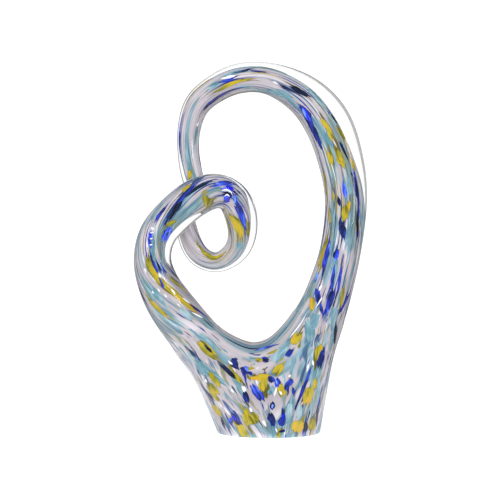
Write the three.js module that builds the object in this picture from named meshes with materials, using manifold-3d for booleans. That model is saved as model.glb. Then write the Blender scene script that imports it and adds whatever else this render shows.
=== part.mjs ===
// Abstract glass sculpture of two pulled limbs on one foot. The right limb arches over the top,
// and the left limb curls into a small loop in front of the right limb's tip. A white opal core
// carries chips of coloured glass in its surface, and a thick clear casing covers both.
// Millimetres, Z up, X to the right, Y to the back, origin at the middle of the flat foot.
import * as THREE from "three";
import Module from "manifold-3d";

const wasm = await Module();
wasm.setup();

// Foot: an oval, ground flat, on which the sculpture stands
const FOOT_WIDTH = 82.6;
const FOOT_DEPTH = 56;
const FOOT_SKIN = 5;
// Where the front line of each limb runs out on the foot's oval, in degrees from +X
const LEFT_LIMB_FOOT_ANGLE = 255;
const RIGHT_LIMB_FOOT_ANGLE = 300;
// How strongly the trunk's glass swings into the limbs where it meets them
const LEAD_STRENGTH = 0.7;

// Gap between pieces of glass that lie against each other
const LAYER_GAP = 0.3;

// Chips: how thick they are, and how far below the core's surface their tops lie
const CHIP_THICKNESS = 1.2;
const CHIP_SINK = 0.15;

// Each row of a limb is one station: the bar's centre x, y, z, its width in the front view, its
// depth, and the clear skin on the outer and on the inner side of the bend.
// Right limb, from where it leaves the foot, up and over the top, to its tip behind the curl
const RIGHT_LIMB = [
  [37.3, 0, 86.3, 43.9, 42, 5, 6],
  [41.8, 0, 97, 39.7, 40, 5, 5.5],
  [46.5, 0, 108.6, 37.2, 38, 5, 5],
  [57.3, 0, 147.5, 33, 34, 4.9, 4.9],
  [61.8, 1, 188.6, 33.8, 33, 6.9, 5.7],
  [58.5, 3, 216.7, 36.2, 33, 10.2, 5.9],
  [47, 6, 250.7, 37.8, 33, 13.5, 6.1],
  [29, 10, 272.2, 33.1, 30, 11, 5.4],
  [-0.4, 14, 286.4, 25.5, 25.5, 7.2, 4.2],
  [-24.5, 16, 286.5, 24.3, 24.3, 6.4, 4],
  [-43.6, 17.5, 278.2, 22.7, 22.7, 5.4, 3.8],
  [-58.6, 18.5, 265.1, 21.1, 21.1, 4.8, 3.5],
  [-64.8, 19, 246.4, 18.7, 18.7, 4.2, 3.1],
  [-65.6, 19, 228.6, 17.5, 17.5, 4, 2.9],
  [-63.3, 16, 211.9, 17.9, 17.9, 5, 2.9],
  [-59.5, 12.5, 197.1, 16.2, 16.2, 4.6, 2.6],
];
// Crotch between the limbs, from right to left
const CROTCH = [
  [9.7, 0, 62.5, 35.5, 45, 5, 8.5],
  [-11.3, 0, 56, 34.8, 46, 5, 9.5],
  [-28.3, 0, 59.3, 35.6, 45, 5, 9],
];
// Left limb, from where it leaves the foot, up and round the curl, to its tip behind itself
const LEFT_LIMB = [
  [-53.9, 0, 70.4, 42.5, 42, 5, 7],
  [-62.4, 0, 81.6, 39, 40, 5, 6.8],
  [-70.3, 0, 91.3, 38.6, 38, 5, 6.5],
  [-82.3, -1, 108.4, 36.3, 35, 5, 5.5],
  [-89.2, -3, 121.8, 33, 32, 5, 5.5],
  [-93.8, -6, 140.9, 30.1, 30, 5, 8],
  [-89.2, -9, 161.5, 29.6, 29.3, 4.6, 8.8],
  [-73.6, -11, 179.4, 30.3, 29, 4.6, 8.8],
  [-58.7, -11, 191, 30.3, 28.5, 5.1, 6],
  [-43, -8, 196.3, 28, 27, 4.8, 5.5],
  [-29.8, -3, 191.5, 25.7, 25.4, 5.7, 5],
  [-23.4, 2, 178.9, 26.6, 25, 7.4, 4.6],
  [-21.4, 5, 162.2, 23.4, 23.2, 7.6, 3.7],
  [-26.3, 9, 147.4, 20, 20, 6, 3.3],
  [-42.3, 12, 137.2, 16, 16, 4, 2.7],
  [-56.9, 14.5, 142.6, 17.6, 17.6, 4.2, 3],
  [-64.3, 13, 155.3, 17.9, 17.9, 4.2, 3],
  [-67.2, 9.6, 168.1, 16.2, 16.2, 4, 3],
];

// Chips on the limbs: colour, distance from the crotch along the limb, place round the bar in
// degrees (0 is the inner side, 90 the back, 180 the outer side, 270 the front), length, width, and
// how many degrees the chip turns round the bar on its way towards the limb's tip
const RIGHT_CHIPS = [
  ["turquoise", 66, 283, 20, 5, 7],
  ["cobalt", 86, 258, 26, 3.2, 0],
  ["cobalt", 86, 303, 16, 3.6, 23],
  ["cobalt", 85, 210, 24, 3, -30],
  ["amber", 118, 345, 28, 3.4, 0],
  ["cobalt", 117, 318, 32, 3, 7],
  ["amber", 155, 275, 16, 3, 8],
  ["turquoise", 175, 267, 20, 3, 8],
  ["cobalt", 180, 225, 26, 2.6, 14],
  ["amber", 201, 260, 18, 3.6, 7],
  ["cobalt", 222, 316, 24, 3, -25],
  ["cobalt", 247, 304, 20, 5, 0],
  ["turquoise", 272, 305, 24, 4, 5],
  ["amber", 318, 278, 40, 2.6, 16],
  ["turquoise", 315, 218, 28, 3.4, 0],
  ["cobalt", 336, 320, 44, 2.8, 10],
  ["turquoise", 388, 248, 42, 2.8, 0],
  ["amber", 105, 100, 26, 4, 10],
  ["cobalt", 142, 80, 30, 3.6, -10],
  ["turquoise", 180, 95, 30, 4, 10],
  ["amber", 218, 85, 26, 4, 15],
  ["cobalt", 300, 90, 30, 3, 10],
];
const LEFT_CHIPS = [
  ["turquoise", 76, 300, 22, 4.5, -30],
  ["amber", 93, 232, 30, 3.2, -45],
  ["amber", 102, 300, 66, 3.6, -104],
  ["amber", 102, 345, 24, 3, -45],
  ["turquoise", 134, 286, 36, 3.4, -30],
  ["cobalt", 158, 322, 10, 5, 0],
  ["cobalt", 168, 232, 22, 2.8, -15],
  ["cobalt", 190, 238, 42, 3.4, -76],
  ["amber", 205, 325, 12, 5, -45],
  ["cobalt", 218, 216, 18, 2.6, -52],
  ["cobalt", 245, 260, 28, 3, -53],
  ["amber", 251, 298, 24, 3.6, -68],
  ["amber", 301, 308, 34, 2, 15],
  ["cobalt", 75, 95, 24, 5, -35],
  ["amber", 112, 85, 34, 3.4, -50],
  ["turquoise", 152, 90, 30, 3, -40],
  ["cobalt", 200, 95, 24, 2.6, -40],
];
// Chips in the trunk: colour, height above the foot along the glass, place round the foot in
// degrees from +X (270 is the front), length, width, and the turn round the foot on the way up
const TRUNK_CHIPS = [
  ["amber", 9, 303, 15, 7, 4],
  ["cobalt", 5, 286, 7, 4, -2],
  ["amber", 18, 265, 15, 7.5, 0],
  ["amber", 10, 330, 16, 5, 0],
  ["cobalt", 16, 233, 12, 3.2, 6],
  ["amber", 24, 217, 20, 4, -13],
  ["turquoise", 20, 291, 24, 4, -2],
  ["cobalt", 37, 273.5, 20, 5.4, -3],
  ["cobalt", 37, 268.5, 18, 3, 2],
  ["amber", 35, 306, 22, 5, -5],
  ["cobalt", 44, 297.5, 32, 3.4, 2],
  ["amber", 54, 268.5, 15, 4, -3],
  ["amber", 59, 254, 20, 3.6, -8],
  ["amber", 70, 305, 20, 4, 0],
  ["amber", 20, 62, 18, 6, -6],
  ["cobalt", 34, 88, 22, 5, 3],
  ["turquoise", 16, 112, 20, 6, 0],
  ["cobalt", 36, 135, 22, 5, 8],
];

// Fineness of the surfaces: most degrees between the points of a ring, ring spacing as a share of
// the bar's width, most degrees of bend between rings, spacing of the trunk's levels in millimetres,
// degrees between the rings of a tip, and spacing of a chip's rows in millimetres
const POINT_SPACING = 22.5;
const RING_SPACING = 0.4;
const RING_BEND = 18;
const LEVEL_SPACING = 7;
const TIP_SPACING = 30;
const ROW_SPACING = 5;

const STATIONS = [...RIGHT_LIMB.toReversed(), ...CROTCH, ...LEFT_LIMB];
const RIGHT_ROOT = RIGHT_LIMB.length - 1;
const LEFT_ROOT = RIGHT_LIMB.length + CROTCH.length;
const CROTCH_MIDDLE = RIGHT_LIMB.length + (CROTCH.length - 1) / 2;
const CROTCH_HEIGHT = STATIONS[CROTCH_MIDDLE][2];
const QUARTER_POINTS = Math.max(2, Math.round(90 / POINT_SPACING));
const TRUNK_LEVELS = Math.max(2, Math.round(CROTCH_HEIGHT / LEVEL_SPACING));
const TIP_RINGS = Math.max(2, Math.round(90 / TIP_SPACING));
const RING_POINTS = 4 * QUARTER_POINTS;
const BACK_POINT = QUARTER_POINTS;
const FRONT_POINT = 3 * QUARTER_POINTS;
const TURN = 2 * Math.PI;
const BACK = new THREE.Vector3(0, 1, 0);

const { degToRad, lerp, inverseLerp, euclideanModulo } = THREE.MathUtils;
const curveOf = (pick, type) => {
  const points = STATIONS.map((row) => new THREE.Vector3(...pick(row)));
  return new THREE.CatmullRomCurve3(points, false, type);
};
const centreCurve = curveOf(([x, y, z]) => [x, y, z], "centripetal");
const sizeCurve = curveOf(([, , , wide, deep]) => [wide, deep, 0], "catmullrom");
const skinCurve = curveOf(([, , , , , outer, inner]) => [outer, inner, 0], "catmullrom");

// Places of the rings along the bar, as station numbers, closer where the bar is thin or bends
function ringPlaces() {
  const places = [0];
  const last = STATIONS.length - 1;
  for (let i = 0; i < last; i++) {
    const reach = centreCurve.points[i].distanceTo(centreCurve.points[i + 1]);
    const bend = centreCurve.getTangent(i / last).angleTo(centreCurve.getTangent((i + 1) / last));
    const stepsForReach = Math.round(reach / (RING_SPACING * sizeCurve.points[i].x));
    const stepsForBend = Math.round(bend / degToRad(RING_BEND));
    const steps = Math.max(1, stepsForReach, stepsForBend);
    for (let k = 1; k <= steps; k++) places.push(i + k / steps);
  }
  return places;
}

// The bar at one place: its centre, its half sizes, and the directions along it and inwards
function sectionAt(place, layer) {
  const share = place / (STATIONS.length - 1);
  const along = centreCurve.getTangent(share);
  const inward = new THREE.Vector3(along.z, 0, -along.x).normalize();
  const size = sizeCurve.getPoint(share);
  const skin = layer.covered ? skinCurve.getPoint(share) : new THREE.Vector3();
  return {
    centre: centreCurve.getPoint(share).addScaledVector(inward, (skin.x - skin.y) / 2),
    along,
    inward,
    halfWide: (size.x - skin.x - skin.y) / 2 + layer.grow,
    halfDeep: (size.y - skin.x - skin.y) / 2 + layer.grow,
  };
}

function ringOf(section, scale = 1) {
  return Array.from({ length: RING_POINTS }, (_, j) => {
    const angle = (TURN * j) / RING_POINTS;
    return section.centre
      .clone()
      .addScaledVector(section.inward, section.halfWide * scale * Math.cos(angle))
      .addScaledVector(BACK, section.halfDeep * scale * Math.sin(angle));
  });
}

function tipCentre(section, share) {
  return section.centre.clone().addScaledVector(section.along, section.halfWide * share);
}

// Rounded tip of the bar: rings that shrink towards the pole, on the side that sense gives
function tipRings(section, sense) {
  return Array.from({ length: TIP_RINGS - 1 }, (_, k) => {
    const lift = ((k + 1) / TIP_RINGS) * (TURN / 4);
    return ringOf({ ...section, centre: tipCentre(section, sense * Math.sin(lift)) }, Math.cos(lift));
  });
}

// The loop where the trunk meets the bar, counter-clockwise from above: the front line from the
// left limb to the right one, the right limb's outer half, the back line, the left limb's outer
// half. Each point has the direction in which the glass goes on, and its place on the foot.
function mouthLoop(rings, sections) {
  const loop = [];
  const frontLeft = degToRad(LEFT_LIMB_FOOT_ANGLE);
  const frontRight = degToRad(RIGHT_LIMB_FOOT_ANGLE);
  const backRight = 2 * TURN - frontRight;
  const backLeft = 2 * TURN - frontLeft;
  const places = ringPlaces();
  const rightRoot = places.indexOf(RIGHT_ROOT);
  const leftRoot = places.indexOf(LEFT_ROOT);
  const span = leftRoot - rightRoot;
  const half = FRONT_POINT - BACK_POINT;
  const addLinePoint = (ring, point, rightShare, footAngle) => {
    const side = 1 - 2 * rightShare;
    const { inward, along } = sections[ring];
    const lead = inward.clone().addScaledVector(along, side * Math.abs(side)).normalize();
    loop.push({ ring, point, lead, footAngle });
  };
  const addLimbPoint = (ring, point, sense, footAngle) => {
    const rim = Math.sin((TURN * point) / RING_POINTS) ** 4;
    const onward = rings[ring + sense][point].clone().sub(rings[ring][point]).normalize();
    const lead = onward.addScaledVector(sections[ring].inward, rim).normalize();
    loop.push({ ring, point, lead, footAngle });
  };
  for (let k = 0; k < span; k++) {
    addLinePoint(leftRoot - k, FRONT_POINT, k / span, lerp(frontLeft, frontRight, k / span));
  }
  for (let k = 0; k < half; k++) {
    addLimbPoint(rightRoot, FRONT_POINT - k, -1, lerp(frontRight, backRight, k / half));
  }
  for (let k = 0; k < span; k++) {
    addLinePoint(rightRoot + k, BACK_POINT, 1 - k / span, lerp(backRight, backLeft, k / span));
  }
  for (let k = 0; k < half; k++) {
    addLimbPoint(leftRoot, BACK_POINT + k, 1, lerp(backLeft, frontLeft + TURN, k / half));
  }
  return { loop, rightRoot, leftRoot };
}

// One point of the trunk between the foot and the mouth, on a curve that ends in the lead's direction
function trunkPoint(foot, mouth, lead, share) {
  const chord = mouth.clone().sub(foot);
  const end = lead.clone().setLength(chord.length() * LEAD_STRENGTH);
  const square = share * share;
  const cube = square * share;
  return foot
    .clone()
    .multiplyScalar(2 * cube - 3 * square + 1)
    .addScaledVector(chord, cube - 2 * square + share)
    .addScaledVector(mouth, 3 * square - 2 * cube)
    .addScaledVector(end, cube - square);
}

// One layer of glass as two grids of points, the bar's rings and the trunk's levels
function glassLayer(layer) {
  const sections = ringPlaces().map((place) => sectionAt(place, layer));
  const rings = sections.map((section) => ringOf(section));
  const { loop, rightRoot, leftRoot } = mouthLoop(rings, sections);
  const footSkin = layer.covered ? FOOT_SKIN : 0;
  const halfWidth = FOOT_WIDTH / 2 - footSkin + layer.grow;
  const halfDepth = FOOT_DEPTH / 2 - footSkin + layer.grow;
  const levels = Array.from({ length: TRUNK_LEVELS + 1 }, (_, k) =>
    loop.map(({ ring, point, lead, footAngle }) => {
      const x = halfWidth * Math.cos(footAngle);
      const y = halfDepth * Math.sin(footAngle);
      const foot = new THREE.Vector3(x, y, -layer.below);
      return trunkPoint(foot, rings[ring][point], lead, k / TRUNK_LEVELS);
    }),
  );
  return { sections, rings, loop, rightRoot, leftRoot, levels, below: layer.below };
}

// Closed body of one layer: the bar with its rounded tips, the trunk and the flat foot
function bodyOf({ sections, rings, loop, rightRoot, leftRoot, levels, below }) {
  const vertices = [];
  const triangles = [];
  const put = (point) => vertices.push(point) - 1;
  const quad = (a, b, c, d) => triangles.push(a, b, c, a, c, d);
  const stitch = (lower, upper, isOpen = () => false) => {
    for (let j = 0; j < lower.length; j++) {
      const next = (j + 1) % lower.length;
      if (!isOpen(j)) quad(lower[j], lower[next], upper[next], upper[j]);
    }
  };
  const fan = (pole, ring, outwards) => {
    for (let j = 0; j < ring.length; j++) {
      const next = (j + 1) % ring.length;
      triangles.push(pole, outwards ? ring[j] : ring[next], outwards ? ring[next] : ring[j]);
    }
  };
  const isTrunkSide = (j) => j >= BACK_POINT && j < FRONT_POINT;

  const bar = rings.map((ring) => ring.map(put));
  for (let i = 0; i + 1 < bar.length; i++) {
    stitch(bar[i], bar[i + 1], (j) => i >= rightRoot && i < leftRoot && isTrunkSide(j));
  }
  const first = sections[0];
  const last = sections.at(-1);
  const startRings = [...tipRings(first, -1).toReversed().map((ring) => ring.map(put)), bar[0]];
  const endRings = [bar.at(-1), ...tipRings(last, 1).map((ring) => ring.map(put))];
  for (const tip of [startRings, endRings]) {
    for (let i = 0; i + 1 < tip.length; i++) stitch(tip[i], tip[i + 1]);
  }
  fan(put(tipCentre(first, -1)), startRings[0], false);
  fan(put(tipCentre(last, 1)), endRings.at(-1), true);

  const trunk = levels.slice(0, -1).map((level) => level.map(put));
  trunk.push(loop.map(({ ring, point }) => bar[ring][point]));
  for (let k = 0; k + 1 < trunk.length; k++) stitch(trunk[k], trunk[k + 1]);
  fan(put(new THREE.Vector3(0, 0, -below)), trunk[0], false);
  return solidOf(vertices, triangles);
}

function solidOf(vertices, triangles) {
  const vertProperties = new Float32Array(vertices.flatMap(({ x, y, z }) => [x, y, z]));
  const triVerts = new Uint32Array(triangles);
  return new wasm.Manifold(new wasm.Mesh({ numProp: 3, vertProperties, triVerts }));
}

// A point on a grid of points that closes on itself sideways, between its rows and columns
function gridPoint(grid, row, col) {
  const top = Math.min(Math.max(Math.floor(row), 0), grid.length - 2);
  const wrapped = euclideanModulo(col, grid[0].length);
  const left = Math.floor(wrapped);
  const right = (left + 1) % grid[0].length;
  const lower = grid[top][left].clone().lerp(grid[top][right], wrapped - left);
  const upper = grid[top + 1][left].clone().lerp(grid[top + 1][right], wrapped - left);
  return lower.lerp(upper, row - top);
}

// A small field on the grid, in millimetres: along the rows, with a slant in columns per millimetre,
// across them, and down into the glass
function fieldOn(grid, row, col, slant) {
  const half = 0.5;
  const rowLength = gridPoint(grid, row + half, col).distanceTo(gridPoint(grid, row - half, col));
  const colLength = gridPoint(grid, row, col + half).distanceTo(gridPoint(grid, row, col - half));
  return (along, across, depth) => {
    const r = row + along / rowLength;
    const c = col + across / colLength + along * slant;
    const alongRows = gridPoint(grid, r + half, c).sub(gridPoint(grid, r - half, c));
    const alongCols = gridPoint(grid, r, c + half).sub(gridPoint(grid, r, c - half));
    const outward = alongCols.cross(alongRows).normalize();
    return gridPoint(grid, r, c).addScaledVector(outward, -depth);
  };
}

// A chip, or the pocket for one: a leaf pointed at both ends, with a diamond section
function leafOf(field, length, width, top, bottom) {
  const middle = (Math.max(top, 0) + bottom) / 2;
  const rows = Math.max(4, Math.round(length / ROW_SPACING));
  const vertices = [field(-length / 2, 0, middle)];
  const triangles = [];
  for (let k = 1; k < rows; k++) {
    const along = (k / rows - 0.5) * length;
    const half = (width / 2) * Math.sin((k / rows) * Math.PI);
    vertices.push(
      field(along, -half, middle),
      field(along, 0, bottom),
      field(along, half, middle),
      field(along, 0, top),
    );
  }
  const end = vertices.push(field(length / 2, 0, middle)) - 1;
  const corners = (end - 1) / (rows - 1);
  for (let j = 0; j < corners; j++) {
    const next = (j + 1) % corners;
    triangles.push(0, 1 + j, 1 + next);
    for (let near = 1; near + corners < end; near += corners) {
      const far = near + corners;
      triangles.push(near + j, far + j, far + next, near + j, far + next, near + next);
    }
    triangles.push(end, end - corners + next, end - corners + j);
  }
  return solidOf(vertices, triangles);
}

// Row of the bar's grid at a distance from the crotch, towards the right limb or the left one
function limbRow({ sections }, distance, sense) {
  let row = ringPlaces().indexOf(CROTCH_MIDDLE);
  let left = distance;
  for (;;) {
    const step = sections[row].centre.distanceTo(sections[row + sense].centre);
    if (step >= left) return row + (sense * left) / step;
    left -= step;
    row += sense;
  }
}

// Row and column of the trunk's grid at a height along the glass above a place on the foot
function trunkPlace({ levels, loop }, height, degrees) {
  const angle = degToRad(degrees < LEFT_LIMB_FOOT_ANGLE ? degrees + 360 : degrees);
  const after = loop.findIndex(({ footAngle }) => footAngle > angle);
  const next = after < 0 ? loop.length : after;
  const nextAngle = after < 0 ? loop[0].footAngle + TURN : loop[after].footAngle;
  const col = next - 1 + inverseLerp(loop[next - 1].footAngle, nextAngle, angle);
  let row = 0;
  let left = height;
  for (;;) {
    const step = gridPoint(levels, row, col).distanceTo(gridPoint(levels, row + 1, col));
    if (step >= left) return [row + left / step, col];
    left -= step;
    row += 1;
  }
}

function meshOf(name, solid, material) {
  const { vertProperties, triVerts } = solid.getMesh();
  const geometry = new THREE.BufferGeometry();
  geometry.setAttribute("position", new THREE.BufferAttribute(new Float32Array(vertProperties), 3));
  geometry.setIndex(new THREE.BufferAttribute(new Uint32Array(triVerts), 1));
  geometry.computeVertexNormals();
  const mesh = new THREE.Mesh(geometry, material);
  mesh.name = name;
  return mesh;
}

const glass = (color, roughness) => new THREE.MeshStandardMaterial({ color, roughness, metalness: 0 });
const CHIP_COLOURS = { cobalt: 0x2222c4, amber: 0xb8a11a, turquoise: 0x7fa9b0 };

const outside = glassLayer({ covered: false, grow: 0, below: 0 });
const cavity = glassLayer({ covered: true, grow: LAYER_GAP, below: LAYER_GAP });
const core = glassLayer({ covered: true, grow: 0, below: 0 });

// Where every chip lies: its colour, its field on the core's surface, its length and its width
function chipPlaces() {
  const { rings, levels, loop } = core;
  const columns = (degrees) => (degrees / 360) * RING_POINTS;
  const onLimb = (sense) => ([colour, distance, degrees, length, width, turn]) => {
    const row = limbRow(core, distance, sense);
    const slant = (sense * columns(turn)) / length;
    return { colour, field: fieldOn(rings, row, columns(degrees), slant), length, width };
  };
  const onTrunk = ([colour, height, degrees, length, width, turn]) => {
    const [row, col] = trunkPlace(core, height, degrees);
    const [, turned] = trunkPlace(core, height, degrees + turn);
    const half = loop.length / 2;
    const slant = (euclideanModulo(turned - col + half, loop.length) - half) / length;
    return { colour, field: fieldOn(levels, row, col, slant), length, width };
  };
  return [...RIGHT_CHIPS.map(onLimb(-1)), ...LEFT_CHIPS.map(onLimb(1)), ...TRUNK_CHIPS.map(onTrunk)];
}

const sculpture = new THREE.Group();
sculpture.name = "glass_sculpture";
sculpture.add(meshOf("clear_casing", bodyOf(outside).subtract(bodyOf(cavity)), glass(0xf2f5f5, 0.03)));

let opal = bodyOf(core);
const counts = {};
for (const { colour, field, length, width } of chipPlaces()) {
  counts[colour] = (counts[colour] ?? 0) + 1;
  const bottom = CHIP_SINK + CHIP_THICKNESS;
  const grown = 2 * LAYER_GAP;
  const chip = leafOf(field, length, width, CHIP_SINK, bottom);
  const pocket = leafOf(field, length + grown, width + grown, -CHIP_THICKNESS, bottom + LAYER_GAP);
  opal = opal.subtract(pocket);
  const name = `${colour}_chip_${String(counts[colour]).padStart(2, "0")}`;
  sculpture.add(meshOf(name, chip, glass(CHIP_COLOURS[colour], 0.1)));
}
sculpture.add(meshOf("opal_core", opal, glass(0xcac4cc, 0.25)));

export default sculpture;
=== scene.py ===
"""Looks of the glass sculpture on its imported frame. Metres, Z up, the front faces -Y."""
import math

import bpy
import numpy as np
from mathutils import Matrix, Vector
from mathutils.bvhtree import BVHTree


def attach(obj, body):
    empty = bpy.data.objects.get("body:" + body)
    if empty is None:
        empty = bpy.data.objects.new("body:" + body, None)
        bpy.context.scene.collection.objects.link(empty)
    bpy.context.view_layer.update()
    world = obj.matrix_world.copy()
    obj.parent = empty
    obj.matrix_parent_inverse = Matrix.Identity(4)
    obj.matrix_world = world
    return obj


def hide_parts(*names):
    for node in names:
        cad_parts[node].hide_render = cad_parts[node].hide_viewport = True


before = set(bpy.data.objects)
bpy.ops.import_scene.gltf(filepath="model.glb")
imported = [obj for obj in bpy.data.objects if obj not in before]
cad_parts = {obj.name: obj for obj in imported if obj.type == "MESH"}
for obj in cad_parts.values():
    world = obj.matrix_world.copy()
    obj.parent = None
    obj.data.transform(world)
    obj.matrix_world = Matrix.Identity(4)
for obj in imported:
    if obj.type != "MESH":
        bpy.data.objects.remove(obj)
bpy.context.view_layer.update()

MM = 0.001
TURN = 2 * math.pi

# Camera at the photo's viewing angle: target, distance, tilt down, and width of the view at the target
TARGET = Vector((-0.0154, 0.009, 0.1478))
CAMERA_DISTANCE = 1.5
CAMERA_TILT = math.radians(3.5)
VIEW_WIDTH = 0.405
IMAGE_PIXELS = 500
SENSOR_MM = 36.0

# Shape of the glass in millimetres, as in the part: centre x, y, z, width in the front view, depth,
# clear skin on the outer and on the inner side of the bend
RIGHT_LIMB = [
    (37.3, 0, 86.3, 43.9, 42, 5, 6),
    (41.8, 0, 97, 39.7, 40, 5, 5.5),
    (46.5, 0, 108.6, 37.2, 38, 5, 5),
    (57.3, 0, 147.5, 33, 34, 4.9, 4.9),
    (61.8, 1, 188.6, 33.8, 33, 6.9, 5.7),
    (58.5, 3, 216.7, 36.2, 33, 10.2, 5.9),
    (47, 6, 250.7, 37.8, 33, 13.5, 6.1),
    (29, 10, 272.2, 33.1, 30, 11, 5.4),
    (-0.4, 14, 286.4, 25.5, 25.5, 7.2, 4.2),
    (-24.5, 16, 286.5, 24.3, 24.3, 6.4, 4),
    (-43.6, 17.5, 278.2, 22.7, 22.7, 5.4, 3.8),
    (-58.6, 18.5, 265.1, 21.1, 21.1, 4.8, 3.5),
    (-64.8, 19, 246.4, 18.7, 18.7, 4.2, 3.1),
    (-65.6, 19, 228.6, 17.5, 17.5, 4, 2.9),
    (-63.3, 16, 211.9, 17.9, 17.9, 5, 2.9),
    (-59.5, 12.5, 197.1, 16.2, 16.2, 4.6, 2.6),
]
CROTCH = [
    (9.7, 0, 62.5, 35.5, 45, 5, 8.5),
    (-11.3, 0, 56, 34.8, 46, 5, 9.5),
    (-28.3, 0, 59.3, 35.6, 45, 5, 9),
]
LEFT_LIMB = [
    (-53.9, 0, 70.4, 42.5, 42, 5, 7),
    (-62.4, 0, 81.6, 39, 40, 5, 6.8),
    (-70.3, 0, 91.3, 38.6, 38, 5, 6.5),
    (-82.3, -1, 108.4, 36.3, 35, 5, 5.5),
    (-89.2, -3, 121.8, 33, 32, 5, 5.5),
    (-93.8, -6, 140.9, 30.1, 30, 5, 8),
    (-89.2, -9, 161.5, 29.6, 29.3, 4.6, 8.8),
    (-73.6, -11, 179.4, 30.3, 29, 4.6, 8.8),
    (-58.7, -11, 191, 30.3, 28.5, 5.1, 6),
    (-43, -8, 196.3, 28, 27, 4.8, 5.5),
    (-29.8, -3, 191.5, 25.7, 25.4, 5.7, 5),
    (-23.4, 2, 178.9, 26.6, 25, 7.4, 4.6),
    (-21.4, 5, 162.2, 23.4, 23.2, 7.6, 3.7),
    (-26.3, 9, 147.4, 20, 20, 6, 3.3),
    (-42.3, 12, 137.2, 16, 16, 4, 2.7),
    (-56.9, 14.5, 142.6, 17.6, 17.6, 4.2, 3),
    (-64.3, 13, 155.3, 17.9, 17.9, 4.2, 3),
    (-67.2, 9.6, 168.1, 16.2, 16.2, 4, 3),
]
FOOT_WIDTH = 82.6
FOOT_DEPTH = 56.0
FOOT_SKIN = 5.0
FOOT_ROUND = 1.2
CORE_LIFT = 0.4
FRONT_LEFT = math.radians(255)
FRONT_RIGHT = math.radians(300)
LEAD_STRENGTH = 0.7
# The left limb was twisted as it was pulled: turn per millimetre, and the run over which it sets in
LEFT_TWIST = math.radians(-1.6)
TWIST_RUN = 25.0

# Fineness: ring spacing in millimetres, points round a ring, levels in the trunk, rings in a tip,
# rings over which kinks are smoothed, and rings ahead that the trunk's curves aim at
RING_STEP = 1.6
AROUND = 48
LEVELS = 40
TIP_RINGS = 9
SMOOTH_RINGS = 2.5
LEAD_RINGS = 12
# Steps between two stations when the run along the bar is measured
FINE_STEPS = 40
# Knots of the curves: by the root of their distance for places, evenly spaced for sizes
BY_DISTANCE = 0.5
EVENLY = 0
# Shares of the trunk's height at its levels: close together at the foot, then even from the first
FOOT_SHARES = [0, 0.004, 0.01, 0.018]
FIRST_LEVEL = 0.03
# Smoothing where the trunk meets the limbs: its reach in millimetres, and the paces of its rounds, forth
# and back for the shape all round, and forth only for the pattern and for the outer sides along the pull
SEAM_REACH = 11.0
SEAM_PACES = [0.55, -0.58] * 30
FLOW_PACES = [0.5] * 60
PATTERN_PACES = [0.5] * 60
# Height of the foot that keeps its shape, and points left out at both ends of an outer side
FOOT_KEPT = 4
RIM_POINTS = 6
# Patterns: radius of the bar that they are drawn on, how fast they run at distances from the limbs'
# roots, and millimetres in one unit
PATTERN_RADIUS = 15.0
PATTERN_RUNS = np.array([-200.0, 0, 30, 90, 500])
PATTERN_RATES = np.array([0.42, 0.42, 0.3, 0.15, 0.12])
PATTERN_UNIT = 10
BACK = AROUND // 4
FRONT = 3 * BACK

# Optics of the clear glass, and how far inside its surface a bent ray starts
GLASS_IOR = 1.5
RAY_START = 1e-5


def unit(vectors):
    return vectors / np.maximum(np.linalg.norm(vectors, axis=-1, keepdims=True), 1e-9)


def spline(values, places, power):
    """Catmull-Rom curve through rows of values, knots spaced by distance to the power."""
    first = 2 * values[0] - values[1]
    last = 2 * values[-1] - values[-2]
    rows = np.vstack([first, values, last])
    i = np.clip(np.floor(places).astype(int), 0, len(values) - 2)
    w = (places - i)[:, None]
    p0, p1, p2, p3 = rows[i], rows[i + 1], rows[i + 2], rows[i + 3]
    gap = np.linalg.norm(np.diff(rows, axis=0), axis=1) ** power
    a, b, c = gap[i][:, None], gap[i + 1][:, None], gap[i + 2][:, None]
    leave = ((p1 - p0) / a - (p2 - p0) / (a + b) + (p2 - p1) / b) * b
    reach = ((p2 - p1) / b - (p3 - p1) / (b + c) + (p3 - p2) / c) * b
    square = 3 * (p2 - p1) - 2 * leave - reach
    cube = 2 * (p1 - p2) + leave + reach
    return p1 + leave * w + square * w**2 + cube * w**3


def evened(values):
    """The same rows with small kinks along the bar smoothed out."""
    reach = int(3 * SMOOTH_RINGS)
    kernel = np.exp(-0.5 * (np.arange(-reach, reach + 1) / SMOOTH_RINGS) ** 2)
    kernel /= kernel.sum()
    padded = np.pad(values, ((reach, reach), (0, 0)), mode="reflect", reflect_type="odd")
    return np.stack([np.convolve(column, kernel, "valid") for column in padded.T], axis=1)


stations = np.array(RIGHT_LIMB[::-1] + CROTCH + LEFT_LIMB, float)
fine_places = np.linspace(0, len(stations) - 1, FINE_STEPS * (len(stations) - 1) + 1)
fine_line = spline(stations[:, :3], fine_places, BY_DISTANCE)
fine_run = np.concatenate([[0], np.cumsum(np.linalg.norm(np.diff(fine_line, axis=0), axis=1))])
ring_count = round(fine_run[-1] / RING_STEP) + 1
ring_run = np.linspace(0, fine_run[-1], ring_count)
ring_places = np.interp(ring_run, fine_run, fine_places)
bar_centre = evened(spline(stations[:, :3], ring_places, BY_DISTANCE))
bar_size = evened(spline(stations[:, 3:5], ring_places, EVENLY))
bar_skin = evened(spline(stations[:, 5:7], ring_places, EVENLY))
bar_along = unit(np.gradient(bar_centre, axis=0))
bar_inward = unit(np.stack([bar_along[:, 2], 0 * bar_along[:, 0], -bar_along[:, 0]], axis=1))
right_root = int(np.argmin(abs(ring_places - (len(RIGHT_LIMB) - 1))))
left_root = int(np.argmin(abs(ring_places - (len(RIGHT_LIMB) + len(CROTCH)))))
crotch_ring = int(np.argmin(abs(ring_places - len(RIGHT_LIMB) - 1)))


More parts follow.
